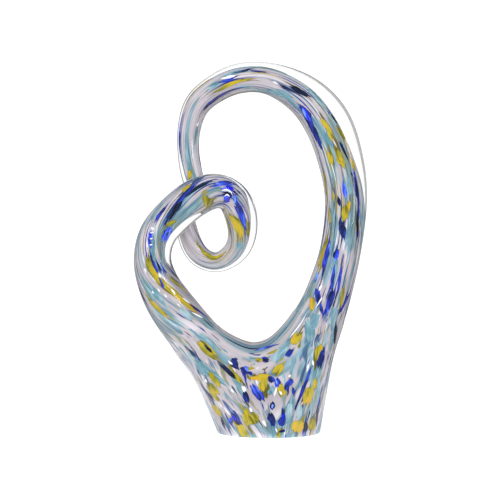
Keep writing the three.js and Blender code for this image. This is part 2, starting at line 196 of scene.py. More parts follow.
def mouth_loop(rings):
    """Points where the trunk meets the bar: ring, point, lead and angle on the foot."""
    span = left_root - right_root
    half = FRONT - BACK
    back_right = 2 * TURN - FRONT_RIGHT
    back_left = 2 * TURN - FRONT_LEFT
    loop = []

    def line_point(ring, point, right_share, start, end, share):
        side = 1 - 2 * right_share
        lead = unit(bar_inward[ring] + bar_along[ring] * side * abs(side))
        loop.append((ring, point, lead, start + (end - start) * share))

    def limb_point(ring, point, sense, start, end, share):
        rim = math.sin(TURN * point / AROUND) ** 4
        onward = unit(rings[ring + sense * LEAD_RINGS, point] - rings[ring, point])
        loop.append((ring, point, unit(onward + bar_inward[ring] * rim), start + (end - start) * share))

    for k in range(span):
        line_point(left_root - k, FRONT, k / span, FRONT_LEFT, FRONT_RIGHT, k / span)
    for k in range(half):
        limb_point(right_root, FRONT - k, -1, FRONT_RIGHT, back_right, k / half)
    for k in range(span):
        line_point(right_root + k, BACK, 1 - k / span, back_right, back_left, k / span)
    for k in range(half):
        limb_point(left_root, BACK + k, 1, back_left, FRONT_LEFT + TURN, k / half)
    return loop


def trunk_levels(rings, loop, skin, lift):
    """Rows of points from the foot's oval up to the mouth, and how high each lies along its line."""
    shares = np.concatenate([FOOT_SHARES, np.linspace(FIRST_LEVEL, 1, LEVELS)])[:, None, None]
    angles = np.array([angle for _, _, _, angle in loop])
    x = (FOOT_WIDTH / 2 - skin) * np.cos(angles)
    y = (FOOT_DEPTH / 2 - skin) * np.sin(angles)
    foot = np.stack([x, y, np.full(len(loop), lift)], axis=1)
    mouth = np.array([rings[ring, point] for ring, point, _, _ in loop])
    chord = mouth - foot
    lead = np.array([lead for _, _, lead, _ in loop])
    end = lead * np.linalg.norm(chord, axis=1, keepdims=True) * LEAD_STRENGTH
    t2, t3 = shares**2, shares**3
    levels = foot * (2 * t3 - 3 * t2 + 1) + chord * (t3 - 2 * t2 + shares)
    levels = levels + mouth * (3 * t2 - 2 * t3) + end * (t3 - t2)
    below = np.clip(FOOT_ROUND - (levels[..., 2:] - lift), 0, FOOT_ROUND)
    inset = FOOT_ROUND - np.sqrt(FOOT_ROUND**2 - below**2)
    levels[..., :2] -= unit(levels[..., :2]) * inset
    steps = np.linalg.norm(np.diff(levels, axis=0), axis=2)
    heights = np.vstack([np.zeros(len(loop)), np.cumsum(steps, axis=0)])
    return levels, heights


def relaxed(values, faces, weight, paces, pull=None):
    """Values at the points of a mesh, moved again and again towards the mean of their neighbours, or of
    those neighbours that lie along the pull of the glass."""
    edges = set()
    for face in faces:
        for a, b in zip(face, face[1:] + face[:1]):
            edges.add((min(a, b), max(a, b)))
    first, second = np.array(sorted(edges)).T
    share = np.ones((len(first), 1))
    if pull is not None:
        along = unit(values[second] - values[first]) * unit(pull[first] + pull[second])
        share = along.sum(axis=1, keepdims=True) ** 4
    degree = np.full((len(values), 1), 1e-9)
    np.add.at(degree, first, share)
    np.add.at(degree, second, share)
    for pace in paces:
        total = 1e-9 * values
        np.add.at(total, first, share * values[second])
        np.add.at(total, second, share * values[first])
        values = values + pace * weight[:, None] * (total / degree - values)
    return values


def stretched(reach):
    """Distance along the pull of the glass, with patterns longer on the limbs than in the trunk."""
    rates = (PATTERN_RATES[1:] + PATTERN_RATES[:-1]) / 2
    sums = np.concatenate([[0], np.cumsum(rates * np.diff(PATTERN_RUNS))])
    return np.interp(reach, PATTERN_RUNS, sums)


def glass_layer(covered):
    """Closed surface of the clear outside or, where covered, of the core: points, faces, the pull
    of the glass at each point, and the coordinates that patterns follow."""
    skin = bar_skin if covered else 0 * bar_skin
    centre = bar_centre + bar_inward * (skin[:, :1] - skin[:, 1:]) / 2
    half = (bar_size - skin.sum(axis=1, keepdims=True)) / 2
    angle = TURN * np.arange(AROUND) / AROUND
    across = bar_inward[:, None] * half[:, None, :1] * np.cos(angle)[None, :, None]
    deep = np.array([0, 1.0, 0]) * half[:, None, 1:] * np.sin(angle)[None, :, None]
    rings = centre[:, None] + across + deep
    loop = mouth_loop(rings)
    lift = CORE_LIFT if covered else 0.0
    levels, heights = trunk_levels(rings, loop, FOOT_SKIN if covered else 0.0, lift)

    # Pattern coordinates on the bar
    run = ring_run - ring_run[crotch_ring]
    root = np.where(run < 0, -run[right_root], run[left_root])
    side = np.clip(run / root, -1, 1)
    beyond = np.maximum(abs(run) - root, 0)
    twist_rate = LEFT_TWIST * np.clip((run - run[left_root]) / TWIST_RUN, 0, 1)
    turned = angle[None, :] - (np.cumsum(twist_rate) * RING_STEP)[:, None]
    left_x = PATTERN_RADIUS * np.cos(turned)
    right_x = 2 * PATTERN_RADIUS - left_x
    blend = ((1 - side) / 2)[:, None]
    bar_x = left_x * (1 - blend) + right_x * blend
    bar_y = PATTERN_RADIUS * np.sin(turned)
    saddle = (1 - abs(side))[:, None] * (1 + np.cos(angle))[None, :] * PATTERN_RADIUS / 2
    bar_cloth = np.stack([bar_x, bar_y, stretched(beyond[:, None] + saddle)], axis=2)
    bar_pull = unit(bar_along * side[:, None] + bar_inward * (1 - abs(side))[:, None])
    onward = bar_inward[:, None] * half[:, None, :1] * -np.sin(angle)[None, :, None]
    onward = onward + np.array([0, 1.0, 0]) * half[:, None, 1:] * np.cos(angle)[None, :, None]
    bar_pull = unit(bar_pull[:, None] + onward * twist_rate[:, None, None])

    # The same for the trunk, hung from the bar's mouth
    mouth_cloth = np.array([bar_cloth[ring, point] for ring, point, _, _ in loop])
    hang = heights[-1] - heights
    trunk_cloth = np.tile(mouth_cloth[None], (len(levels), 1, 1))
    trunk_cloth[..., 2] = stretched(-hang)
    trunk_pull = unit(np.gradient(levels, axis=0))

    points, faces, pull, cloth = [], [], [], []

    def put(rows, pulls, cloths):
        start = len(points)
        points.extend(rows)
        pull.extend(pulls)
        cloth.extend(cloths)
        return list(range(start, start + len(rows)))

    def stitch(lower, upper, is_open=lambda j: False):
        for j in range(len(lower)):
            after = (j + 1) % len(lower)
            if not is_open(j):
                faces.append([lower[j], lower[after], upper[after], upper[j]])

    bar = [put(rings[i], bar_pull[i], bar_cloth[i]) for i in range(ring_count)]
    for i in range(ring_count - 1):
        inside = right_root <= i < left_root
        stitch(bar[i], bar[i + 1], lambda j: inside and BACK <= j < FRONT)

    def tip(i, sense):
        rows = [bar[i]]
        for k in range(1, TIP_RINGS):
            rise = k / TIP_RINGS * TURN / 4
            middle = centre[i] + bar_along[i] * sense * half[i, 0] * math.sin(rise)
            ring = middle + (rings[i] - centre[i]) * math.cos(rise)
            rows.append(put(ring, bar_pull[i], bar_cloth[i]))
        pole = put([centre[i] + bar_along[i] * sense * half[i, 0]], bar_pull[i][:1], bar_cloth[i][:1])[0]
        for near, far in zip(rows, rows[1:]):
            if sense > 0:
                stitch(near, far)
            else:
                stitch(far, near)
        for j in range(AROUND):
            pair = [rows[-1][j], rows[-1][(j + 1) % AROUND]]
            faces.append([pole] + (pair if sense > 0 else pair[::-1]))

    tip(0, -1)
    tip(ring_count - 1, 1)

    trunk = [put(levels[k], trunk_pull[k], trunk_cloth[k]) for k in range(len(levels) - 1)]
    trunk.append([bar[ring][point] for ring, point, _, _ in loop])
    for lower, upper in zip(trunk, trunk[1:]):
        stitch(lower, upper)
    faces.append(trunk[0][::-1])

    points, pull, cloth = np.array(points), np.array(pull), np.array(cloth)

    def nearness(places):
        """1 at these places, fading out round them, and 0 at the foot."""
        away = np.full(len(points), 1e9)
        for place in places:
            away = np.minimum(away, np.linalg.norm(points - points[place], axis=1))
        return np.exp(-0.5 * (away / SEAM_REACH) ** 2) * (points[:, 2] > FOOT_KEPT)

    weight = nearness(trunk[-1][::2])
    outer_points = range(BACK + RIM_POINTS, FRONT - RIM_POINTS + 1)
    outer = [bar[root_ring][j] for root_ring in (right_root, left_root) for j in outer_points]
    outer_weight = nearness(outer)
    used = np.zeros(len(points), bool)
    used[[v for face in faces for v in face]] = True
    number = np.cumsum(used) - 1
    faces = [[int(number[v]) for v in face] for face in faces]
    pull = pull[used]
    points = relaxed(points[used], faces, weight[used], SEAM_PACES)
    points = relaxed(points, faces, outer_weight[used], FLOW_PACES, pull)
    cloth = relaxed(cloth[used], faces, weight[used], PATTERN_PACES)
    return {"points": points * MM, "faces": faces, "pull": pull, "cloth": cloth}


def mesh_object(name, points, faces, attributes=()):
    mesh = bpy.data.meshes.new(name)
    mesh.from_pydata([tuple(p) for p in points], [], faces)
    for label, kind, values in attributes:
        data = mesh.attributes.new(label, kind, "POINT").data
        field = "vector" if kind == "FLOAT_VECTOR" else "value"
        data.foreach_set(field, np.asarray(values, np.float32).ravel())
    mesh.update()
    mesh.shade_smooth()
    obj = bpy.data.objects.new(name, mesh)
    bpy.context.scene.collection.objects.link(obj)
    return obj


def tree_of(layer):
    return BVHTree.FromPolygons([Vector(p) for p in layer["points"]], layer["faces"])


casing_layer = glass_layer(False)
core_layer = glass_layer(True)
casing_tree = tree_of(casing_layer)
core_tree = tree_of(core_layer)
core_pull = [Vector(core_layer["pull"][face].mean(axis=0)).normalized() for face in core_layer["faces"]]

casing = mesh_object(
    "cased_glass", casing_layer["points"], casing_layer["faces"],
    [("cloth", "FLOAT_VECTOR", casing_layer["cloth"] / PATTERN_UNIT)],
)
core = mesh_object(
    "opal_gather", core_layer["points"], core_layer["faces"],
    [("cloth", "FLOAT_VECTOR", core_layer["cloth"] / PATTERN_UNIT)],
)
casing_normals = [vertex.normal.copy() for vertex in casing.data.vertices]

# Camera
forward = Vector((0, math.cos(CAMERA_TILT), -math.sin(CAMERA_TILT)))
upward = Vector((0, math.sin(CAMERA_TILT), math.cos(CAMERA_TILT)))
camera_place = TARGET - forward * CAMERA_DISTANCE
camera_data = bpy.data.cameras.new("camera")
camera_data.sensor_width = SENSOR_MM
camera_data.lens = SENSOR_MM * CAMERA_DISTANCE / VIEW_WIDTH
camera_data.clip_end = 50
camera = bpy.data.objects.new("camera", camera_data)
camera.location = camera_place
camera.rotation_euler = (math.pi / 2 - CAMERA_TILT, 0, 0)
bpy.context.scene.collection.objects.link(camera)
bpy.context.scene.camera = camera


def casing_normal(face, place):
    """The smooth normal of the casing at a place on one of its faces."""
    total = Vector()
    for corner in casing_layer["faces"][face]:
        reach = (Vector(casing_layer["points"][corner]) - place).length
        total += casing_normals[corner] / (reach + 1e-6)
    return total.normalized()


def seen_at(x, y):
    """The place on the core that shows at a pixel of the photo, through the clear casing."""
    right = (x - IMAGE_PIXELS / 2) / IMAGE_PIXELS * VIEW_WIDTH
    up = (IMAGE_PIXELS / 2 - y) / IMAGE_PIXELS * VIEW_WIDTH
    ray = (forward * CAMERA_DISTANCE + Vector((right, 0, 0)) + upward * up).normalized()
    place, _, face, _ = casing_tree.ray_cast(camera_place, ray)
    if place is None:
        return None
    normal = casing_normal(face, place)
    facing = -ray.dot(normal)
    if facing <= 0:
        return None
    bent = ray / GLASS_IOR
    inside = 1 - (1 - facing**2) / GLASS_IOR**2
    bent = (bent + normal * (facing / GLASS_IOR - math.sqrt(inside))).normalized()
    return core_tree.ray_cast(place + bent * RAY_START, bent)[0]


# Chips seen in the photo: width in pixels, then pixels along the chip. First the blue ones
COBALT_SEEN = [
    (6, 232, 361, 239, 368), (5, 242.5, 369, 247.5, 372), (5, 269.5, 375.5, 272, 380.5),
    (4, 276, 381, 278, 387), (4, 272, 403, 273, 408), (5, 290.5, 380, 286.5, 389),
    (6, 270.5, 414.5, 272.5, 425), (5, 284, 413, 281, 424), (3, 293, 389, 293.5, 393),
    (5, 323, 350.5, 319, 368), (2.5, 329.5, 364, 324, 392.5), (4, 233, 415.5, 239, 423.5),
    (3, 255, 350.5, 279, 344), (4, 263, 359, 267, 360), (5, 341.5, 219, 343, 239),
    (3, 338, 197.5, 339.5, 204.5), (4, 337, 250.5, 334.5, 259), (2.5, 342, 263, 338, 292),
    (1.5, 251.5, 71, 264.5, 72), (3, 220, 82.5, 233, 78), (4, 224, 193.5, 236, 193),
    (4, 225, 201, 232, 196.5), (3, 148.5, 238.5, 150.5, 247), (3, 150.5, 257, 157.5, 272),
    (3, 191, 305, 209.5, 319), (2.5, 158.5, 276.5, 163.5, 287.5), (2, 157, 262, 160, 270),
    (1.5, 150, 252, 153, 264), (1.5, 161.5, 264, 164, 270), (5, 301, 104, 308, 118, 321, 150),
    (5, 329, 242, 326, 256, 322, 270), (3, 334.5, 265, 331.5, 290),
    (4, 212, 186, 222, 183, 236, 184), (4, 233, 198, 240, 208, 246, 232),
    (4, 353, 174, 358, 198), (5, 317, 290, 319, 305), (3, 320, 302, 322, 313),
    (4, 332, 288, 326, 317),
]
# Nearly black bits of the same blue
DEEP_SEEN = [
    (4, 306, 423.5, 305, 434.5), (4, 336.5, 320, 334.5, 343), (2, 331.5, 115, 336.5, 123),
    (2.5, 201.5, 385, 214, 400.5), (2.5, 340.5, 143, 348, 159.5), (4, 218.5, 363, 236, 378),
    (3, 190, 350.5, 195.5, 356.5), (3, 204.5, 345, 211, 351.5), (2, 281.5, 86, 295, 93),
    (3, 357, 212.5, 358, 236), (4, 191, 183.5, 207.5, 174.5), (3, 184, 197, 197, 188, 213, 180),
    (5, 168, 220, 174, 210, 182, 199), (4, 290, 85, 310, 97.5), (2.5, 232, 73.5, 249.5, 69.5),
    (3, 221.5, 420.5, 225.5, 430), (3, 318, 408, 316.5, 421.5),
]
# Light, clear bits of the same blue
BRIGHT_SEEN = [
    (8, 169.5, 228, 165, 241), (4, 222, 189.5, 230, 188, 236, 192), (7, 225.5, 200.5, 231.5, 195),
    (3, 233, 193, 235.5, 198, 235, 204), (3.5, 343, 180, 346, 198), (3, 338, 250, 335, 262),
    (4, 303, 108, 311, 124),
    (3, 150.5, 232, 150, 243), (3, 284, 414, 282, 420), (3, 245, 367, 248, 371), (3, 273, 404, 272, 409),
    (3, 318, 273, 315, 282), (2.5, 232, 416, 237, 421),
]
AMBER_SEEN = [
    (6, 197.5, 341, 217.5, 358.5), (6, 209, 386, 219.5, 398.5), (5, 239, 425, 245.5, 436),
    (6, 243.5, 408, 249.5, 424.5), (5, 251, 376.5, 268.5, 377.5), (7, 262.5, 377, 263.5, 391),
    (6, 281, 365, 275, 373.5), (5, 280, 385, 282, 395.5), (6, 300, 331.5, 293.5, 343),
    (3, 315.5, 379.5, 314.5, 387), (3, 279, 427, 279, 436), (3, 257, 359, 261, 361),
    (3, 322, 119.5, 329.5, 131.5), (3.5, 337, 124.5, 347, 143), (3, 350.5, 158, 355.5, 171),
    (3, 329, 153, 331.5, 163), (4, 323, 168, 327, 199.5), (2.5, 333, 191, 334, 201),
    (3, 349, 201, 348, 211), (2.5, 329.5, 209.5, 330.5, 222.5), (4, 312.5, 297, 311.5, 312),
    (3, 344, 284, 340.5, 307), (3, 190, 171, 189.5, 178), (5, 184, 190.5, 191, 185.5),
    (3, 247.5, 220, 248.5, 237.5), (3, 327, 126, 333, 140), (4, 335, 143, 339, 154, 343, 168),
    (4, 345, 203, 346, 221),
    (6, 327, 238, 323, 254, 319, 270), (3, 168, 226, 174, 221), (5.5, 206, 197, 209, 210),
    (6, 229, 214, 236, 222, 240, 232, 240, 239), (4, 146, 252, 150.5, 268, 159, 282, 168, 292),
]
TURQUOISE_SEEN = [
    (7, 195.5, 332.5, 209, 342, 221.5, 353.5), (8, 191, 357.5, 230, 389), (5, 232, 376.5, 244.5, 391),
    (8, 307.5, 320, 310.5, 339), (8, 288.5, 342, 274, 361), (5, 295, 353.5, 291.5, 377.5),
    (5, 301, 404, 298, 420), (4, 274, 423.5, 276, 436), (7, 270.5, 387, 271.5, 392.5),
    (4, 313.5, 371.5, 311.5, 415.5), (4, 320, 373.5, 317, 406), (4, 328, 331.5, 323, 348.5),
    (5, 331.5, 323, 334.5, 339), (5, 303, 81.5, 328, 110), (4, 324.5, 129.5, 331.5, 148),
    (5, 329.5, 111.5, 339.5, 129.5), (4, 348, 176, 351, 196), (4, 331.5, 207.5, 334, 236),
    (4, 347, 226, 345.5, 242.5), (5, 336.5, 255.5, 331.5, 290.5), (3, 341.5, 290.5, 336.5, 309),
    (5, 316.5, 275.5, 300, 309), (8, 334.5, 309, 331.5, 330), (4, 359.5, 202.5, 363, 236),
    (4, 209, 88, 220, 81.5), (6, 246.5, 87.5, 286, 95.5, 296, 106.5), (3, 197.5, 128, 194, 147),
    (4, 163.5, 250, 162.5, 270), (4, 180, 221, 200.5, 201), (6, 240, 239.5, 240, 248),
    (4, 140, 277.5, 155.5, 303), (5, 150.5, 285.5, 163.5, 303), (4, 148.5, 221, 163.5, 201),
]
# White marks: a few are bits of white glass, most are painted highlights and reflections of the lamps on
# the glass, drawn as white strands on the core
WHITE_AND_HIGHLIGHT_SEEN = [
    (2, 227.5, 360, 233, 365), (2, 241.5, 385, 244.5, 392.5), (2, 256, 380, 258, 386),
    (2, 274, 396.5, 277, 387), (2.5, 249.5, 407, 252, 412), (3, 262.5, 420.5, 266.5, 427),
    (2, 308.5, 364, 306.5, 373.5), (2, 288.5, 377.5, 290.5, 374.5), (3, 220, 79, 236.5, 75.5),
    (2, 196.5, 126.5, 199, 121.5), (1.5, 272, 81.5, 279.5, 84.5), (2.5, 150.5, 227.5, 154.5, 229.5),
    (2, 205, 379, 207, 383), (2, 231.5, 389, 233.5, 393), (2.5, 243, 386, 246, 391),
    (2, 279.5, 391, 282, 395),
    (2, 312.5, 360, 313.5, 366), (1.5, 275.5, 428, 277.5, 433), (1.5, 150, 233, 154, 232),
    (1.5, 150, 239, 153, 238), (1.5, 149.5, 245, 152.5, 244.5),
    (1.5, 221, 191, 226, 189.5, 231, 192, 233, 197),
    (1.5, 224, 196.5, 227, 194, 230, 197), (1.4, 289, 338.5, 296, 330, 302, 322, 308, 310.5),
    (1.4, 322.5, 296.5, 318.5, 303.5, 315.5, 308.5), (2.2, 322, 285, 318.5, 291),
    (1.6, 144.5, 268, 146.5, 273.5),
    (1.6, 158.5, 272.5, 160.5, 278), (1.4, 157.5, 288.5, 160, 292), (1.4, 163.5, 293.5, 167, 297.5),
    (1.8, 170.5, 288, 175.5, 294.5), (1.8, 181, 297, 190.5, 303.5), (1.4, 177, 303.5, 181, 308),
    (2.2, 191, 312, 203, 318), (1.4, 152, 291, 154, 294), (1.6, 315, 216, 315.5, 222),
]
PIXEL = VIEW_WIDTH / IMAGE_PIXELS
# A seen chip's full width over the width that reads at a glance, because its rim is thin
FULL_WIDTH = {"turquoise": 1.1, "amber": 1.4, "cobalt": 1.15, "deep": 1.15, "bright": 1.1, "white": 1.1}
# Its ends are thin too, so it is drawn longer at both ends by this many pixels
END_REACH = {"turquoise": 2.0, "amber": 2.0, "cobalt": 2.0, "deep": 2.0, "bright": 1.0, "white": 0.0}
# A strand's mesh: points across, spacing along, depth of its edges, and height of its crown
LEAF_COLUMNS = 7
LEAF_ROW = 1.0 * MM
LEAF_SINK = 0.05 * MM
LEAF_LIFT = {
    "turquoise": 0.1 * MM, "amber": 0.2 * MM, "cobalt": 0.3 * MM,
    "deep": 0.33 * MM, "bright": 0.36 * MM, "white": 0.42 * MM,
}
LIFT_RANGE = (0.8, 1.2)
# A strand's shape: where it is fullest, how pointed its ends are, more so when drawn out, where it
# starts and how much it fills of its length, and the length and depth of its edges' waves
PEAK_RANGE = (0.25, 0.75)
POINT_RANGE = (0.6, 1.25)
DRAWN_POINT = 0.2
START_SHARE = 0.03
FILLED_SHARE = 0.94
COARSE_WAVE = (5 * MM, 0.18)
FINE_WAVE = (1.5 * MM, 0.06)
# A strand's shades: apart from its chip's, from end to end, and the fineness of its grain
SHADE_RANGE = (-0.25, 0.25)
SLOPE_RANGE = (-1.3, 1.3)
GRAIN_ACROSS = 0.5
GRAIN_ALONG = 0.09
GRAIN_APART = 50
# A chip is a flake up to this many widths long, and drawn out into strands beyond
FLAKE_LENGTH = 3.2
# Widths above which a chip has two and three strands, the strands' summed width over the chip's, the
# share by which a strand may be cut short, and the spacing of strands
TWO_STRANDS = 3.4 * MM
THREE_STRANDS = 6.5 * MM
DRAWN_COVER = 1.5
FLAKE_COVER = 1.7
DRAWN_CUT = 0.2
FLAKE_CUT = 0.4
STRAND_SPACING = 0.8
# The frame's chips have their points in rows of about this spacing, and pointed sides, so a drawn
# chip is wider by a share, in the trunk more than on the limbs
NODE_ROW = 5 * MM
TRUNK_SPREAD = {"turquoise": 1.5, "amber": 1.6, "cobalt": 1.25}
LIMB_SPREAD = {"turquoise": 1.25, "amber": 1.3, "cobalt": 1.1}
# Height above which the glass is drawn out into limbs, and how light a chip can be there
LIMB_HEIGHT = 85 * MM
LIMB_TONE = 0.8

rng = np.random.default_rng(11)
# Where chips lie, which way they run and how wide they are, for the streaks that they leave in the core
TRAIL_COLOURS = {"turquoise": "turquoise", "amber": "amber", "cobalt": "cobalt", "deep": "cobalt"}
trails = {colour: [] for colour in TRAIL_COLOURS.values()}


def nearest(point):
    """The place on the core nearest to a point, and the core's normal there."""
    place, normal, _, _ = core_tree.find_nearest(Vector(point))
    return place, normal


def empty_batch():
    return {"points": [], "faces": [], "rim": [], "tone": [], "grain": []}


def waves(rows, length, step, depth):
    """Uneven factors for both edges of a strand, about one wave for each step along it."""
    knots = 3 + round(length / step)
    heights = rng.uniform(1 - depth, 1 + depth, (2, knots))
    return [np.interp(np.linspace(0, knots - 1, rows), np.arange(knots), height) for height in heights]


def add_strand(batch, spine, width, lift, tone, drawn):
    """One strand of glass along a spine of places on the core, crowned, with its edges let in."""
    rows = len(spine)
    length = (spine[-1] - spine[0]).length
    peak = rng.uniform(*PEAK_RANGE)
    ends = rng.uniform(*POINT_RANGE, 2) + DRAWN_POINT * drawn
    slope = rng.uniform(*SLOPE_RANGE)
    edges = zip(waves(rows, length, *COARSE_WAVE), waves(rows, length, *FINE_WAVE))
    ragged = [coarse * fine for coarse, fine in edges]
    start = len(batch["points"])
    run = 0.0
    for k, point in enumerate(spine):
        share = START_SHARE + FILLED_SHARE * k / (rows - 1)
        rise = share / peak if share < peak else (1 - share) / (1 - peak)
        full = math.sin(rise * TURN / 4) ** ends[int(share > peak)]
        ahead = spine[min(k + 1, rows - 1)] - spine[max(k - 1, 0)]
        near, normal = nearest(point)
        side = normal.cross(ahead).normalized()
        run += (point - spine[max(k - 1, 0)]).length
        shade = min(1, max(0, tone + slope * (share - 0.5)))
        for column in range(LEAF_COLUMNS):
            u = 2 * column / (LEAF_COLUMNS - 1) - 1
            reach = u * full * ragged[int(u > 0)][k] * width / 2
            place, out = nearest(near + side * reach)
            rim = full * (1 - u * u)
            batch["points"].append(place + out * (lift * min(1, 3 * rim) - LEAF_SINK))
            batch["rim"].append(rim)
            batch["tone"].append(shade)
            grain = (reach / MM * GRAIN_ACROSS, run / MM * GRAIN_ALONG, GRAIN_APART * tone)
            batch["grain"].append(grain)
    for k in range(rows - 1):
        for column in range(LEAF_COLUMNS - 1):
            a = start + k * LEAF_COLUMNS + column
            b = a + LEAF_COLUMNS
            batch["faces"].append([a, a + 1, b + 1, b])


def add_chip(batch, colour, spine, width):
    """A chip of one to three strands side by side: a short flake, or drawn out along its spine."""
    rows = len(spine)
    drawn = (spine[-1] - spine[0]).length > FLAKE_LENGTH * width
    strands = 1 + int(width > TWO_STRANDS) + int(width > THREE_STRANDS)
    share = 1 if strands == 1 else (DRAWN_COVER if drawn else FLAKE_COVER) / strands
    cut = (DRAWN_CUT if drawn else FLAKE_CUT) * rows * (strands > 1)
    tone = rng.random() * (LIMB_TONE if spine[rows // 2].z > LIMB_HEIGHT else 1)
    if colour in TRAIL_COLOURS:
        for k in range(1, rows - 1, 2):
            run = (spine[k + 1] - spine[k - 1]).normalized()
            trails[TRAIL_COLOURS[colour]].append((*spine[k], *run, width))
    for place in (np.arange(strands) - (strands - 1) / 2) * width / (strands + STRAND_SPACING):
        first = int(rng.uniform(0, cut))
        last = rows - (int(rng.uniform(0, cut)) if drawn else 0)
        if not drawn and rng.random() < 0.5:
            first, last = rows - last, rows - first
        shifted = []
        for k in range(first, max(last, first + 4)):
            ahead = spine[min(k + 1, rows - 1)] - spine[max(min(k, rows - 1) - 1, 0)]
            near, normal = nearest(spine[min(k, rows - 1)])
            shifted.append(nearest(near + normal.cross(ahead).normalized() * place)[0])
        lift = LEAF_LIFT[colour] * rng.uniform(*LIFT_RANGE)
        shade = min(1, max(0, tone + rng.uniform(*SHADE_RANGE)))
        add_strand(batch, shifted, width * share, lift, shade, drawn)


def spine_along(start, length):
    """Places along the pull of the glass, with start in the middle."""
    half = max(3, round(length / 2 / LEAF_ROW))
    step = length / 2 / half

    def go(sense):
        point = start
        places = []
        for _ in range(half):
            _, _, face, _ = core_tree.find_nearest(point)
            point = core_tree.find_nearest(point + core_pull[face] * sense * step)[0]
            places.append(point)
        return places

    return go(-1)[::-1] + [start] + go(1)


def spine_seen(pixels, longer):
    """Places on the core along a line of pixels, made longer at both ends, as far as the core shows."""
    marks = np.array(pixels, float).reshape(-1, 2)
    start = marks[0] + longer * unit(marks[0] - marks[1])
    end = marks[-1] + longer * unit(marks[-1] - marks[-2])
    marks = np.vstack([start, marks[1:-1], end])
    run = np.concatenate([[0], np.cumsum(np.linalg.norm(np.diff(marks, axis=0), axis=1))])
    count = max(6, round(run[-1] * PIXEL / LEAF_ROW))
    even = np.linspace(0, run[-1], count)
    places = [seen_at(np.interp(s, run, marks[:, 0]), np.interp(s, run, marks[:, 1])) for s in even]
    places = [place for place in places if place is not None]
    if len(places) > 4:
        inner = [(a + 2 * b + c) / 4 for a, b, c in zip(places, places[1:], places[2:])]
        places = [places[0]] + inner + [places[-1]]
    return places


def spine_of_node(label):
    """Places on the core along one of the frame's chips, and the chip's width."""
    points = np.array([vertex.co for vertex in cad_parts[label].data.vertices])
    offset = points - points.mean(axis=0)
    axis = np.linalg.svd(offset, full_matrices=False)[2][0]
    run = offset @ axis
    count = max(7, round(np.ptp(run) / LEAF_ROW))
    spine = []
    for goal in np.linspace(run.min(), run.max(), count):
        weight = np.exp(-0.5 * ((run - goal) / (NODE_ROW / 2)) ** 2)
        spine.append(nearest(weight @ points / weight.sum())[0])
    normal = nearest(spine[count // 2])[1]
    side = np.array(normal.cross(spine[count // 2 + 1] - spine[count // 2 - 1]).normalized())
    middle = abs(run - run[np.argmin(abs(run))]) < NODE_ROW
    return spine, np.ptp(offset[middle] @ side)


def chip_object(name, batch):
    return mesh_object(name, batch["points"], batch["faces"], [
        ("rim", "FLOAT", batch["rim"]),
        ("tone", "FLOAT", batch["tone"]),
        ("grain", "FLOAT_VECTOR", batch["grain"]),
    ])


# The frame's chips, each in its own place
chips = []
taken = []
for label in sorted(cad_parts):
    colour = label.split("_")[0]
    if colour in LEAF_LIFT:
        batch = empty_batch()
        spine, width = spine_of_node(label)
        spread = LIMB_SPREAD if spine[len(spine) // 2].z > LIMB_HEIGHT else TRUNK_SPREAD
        add_chip(batch, colour, spine, width * spread[colour])
        taken.extend(spine[::3])
        chips.append((chip_object(f"{label}_drawn", batch), colour, [label]))

# Small chips that the photo shows between them
small = {colour: empty_batch() for colour in LEAF_LIFT}
# The white ones among them are mostly painted highlights and reflections, with some bits of white glass
for colour, rows in (
    ("turquoise", TURQUOISE_SEEN), ("amber", AMBER_SEEN), ("cobalt", COBALT_SEEN),
    ("deep", DEEP_SEEN), ("bright", BRIGHT_SEEN), ("white", WHITE_AND_HIGHLIGHT_SEEN),
):
    for width, *pixels in rows:
        spine = spine_seen(pixels, END_REACH[colour])
        if len(spine) > 3:
            add_chip(small[colour], colour, spine, width * PIXEL * FULL_WIDTH[colour])
            taken.extend(spine[::3])

# Small chips strewn over the back, which the photo doesn't show, but not on the saddle: places tried,
# their spacing, and the chips' colours, lengths and widths in millimetres
STREWN_TRIES = 1200
STREWN_SPACING = 5.5 * MM
STREWN_COLOURS = ["cobalt", "amber", "turquoise", "white"]
STREWN_SHARES = [0.36, 0.3, 0.26, 0.08]
LIMB_LENGTHS = (14, 40)
LIMB_WIDTHS = (1.6, 3.4)
TRUNK_LENGTHS = (7, 18)
TRUNK_WIDTHS = (2.6, 5.2)
# The saddle's highest place, and how far up its faces look at least
SADDLE_HEIGHT = 110 * MM
SADDLE_TILT = 0.3
LOWEST_MIDDLE = 4 * MM
LOWEST_END = 1.5 * MM
core_faces = core.data.polygons
areas = np.array([face.area for face in core_faces])
for pick in rng.choice(len(areas), STREWN_TRIES, p=areas / areas.sum()):
    face = core_faces[int(pick)]
    place = face.center.copy()
    shown = face.normal.y < 0 or (face.normal.z > SADDLE_TILT and place.z < SADDLE_HEIGHT)
    crowded = min((place - other).length for other in taken) < STREWN_SPACING
    if shown or crowded or place.z < LOWEST_MIDDLE:
        continue
    colour = str(rng.choice(STREWN_COLOURS, p=STREWN_SHARES))
    on_limb = place.z > LIMB_HEIGHT
    length = rng.uniform(*(LIMB_LENGTHS if on_limb else TRUNK_LENGTHS)) * MM
    width = rng.uniform(*(LIMB_WIDTHS if on_limb else TRUNK_WIDTHS)) * MM
    spine = spine_along(place, min(length, 2 * (place.z - LOWEST_END)))
    add_chip(small[colour], colour, spine, width)
    taken.extend(spine[::3])

for colour, batch in small.items():
    chips.append((chip_object(f"small_{colour}_chips", batch), colour, []))


def mark_core(label, values):
    """Keeps a value for each point of the core, for its material."""
    data = core.data.attributes.new(label, "FLOAT", "POINT").data
    data.foreach_set("value", values.astype(np.float32))


# The lip of the saddle between the limbs, where the glass is calm: 1 on it, fading out towards the limbs
LIP_TILT = 0.35
LIP_TOP = 125 * MM
LIP_FADE = 25 * MM
tilt = np.array([vertex.normal.z for vertex in core.data.vertices])
below_top = LIP_TOP - core_layer["points"][:, 2]
lip = np.clip(tilt / LIP_TILT, 0, 1) * np.clip(below_top / LIP_FADE, 0, 1)
mark_core("lip", lip)

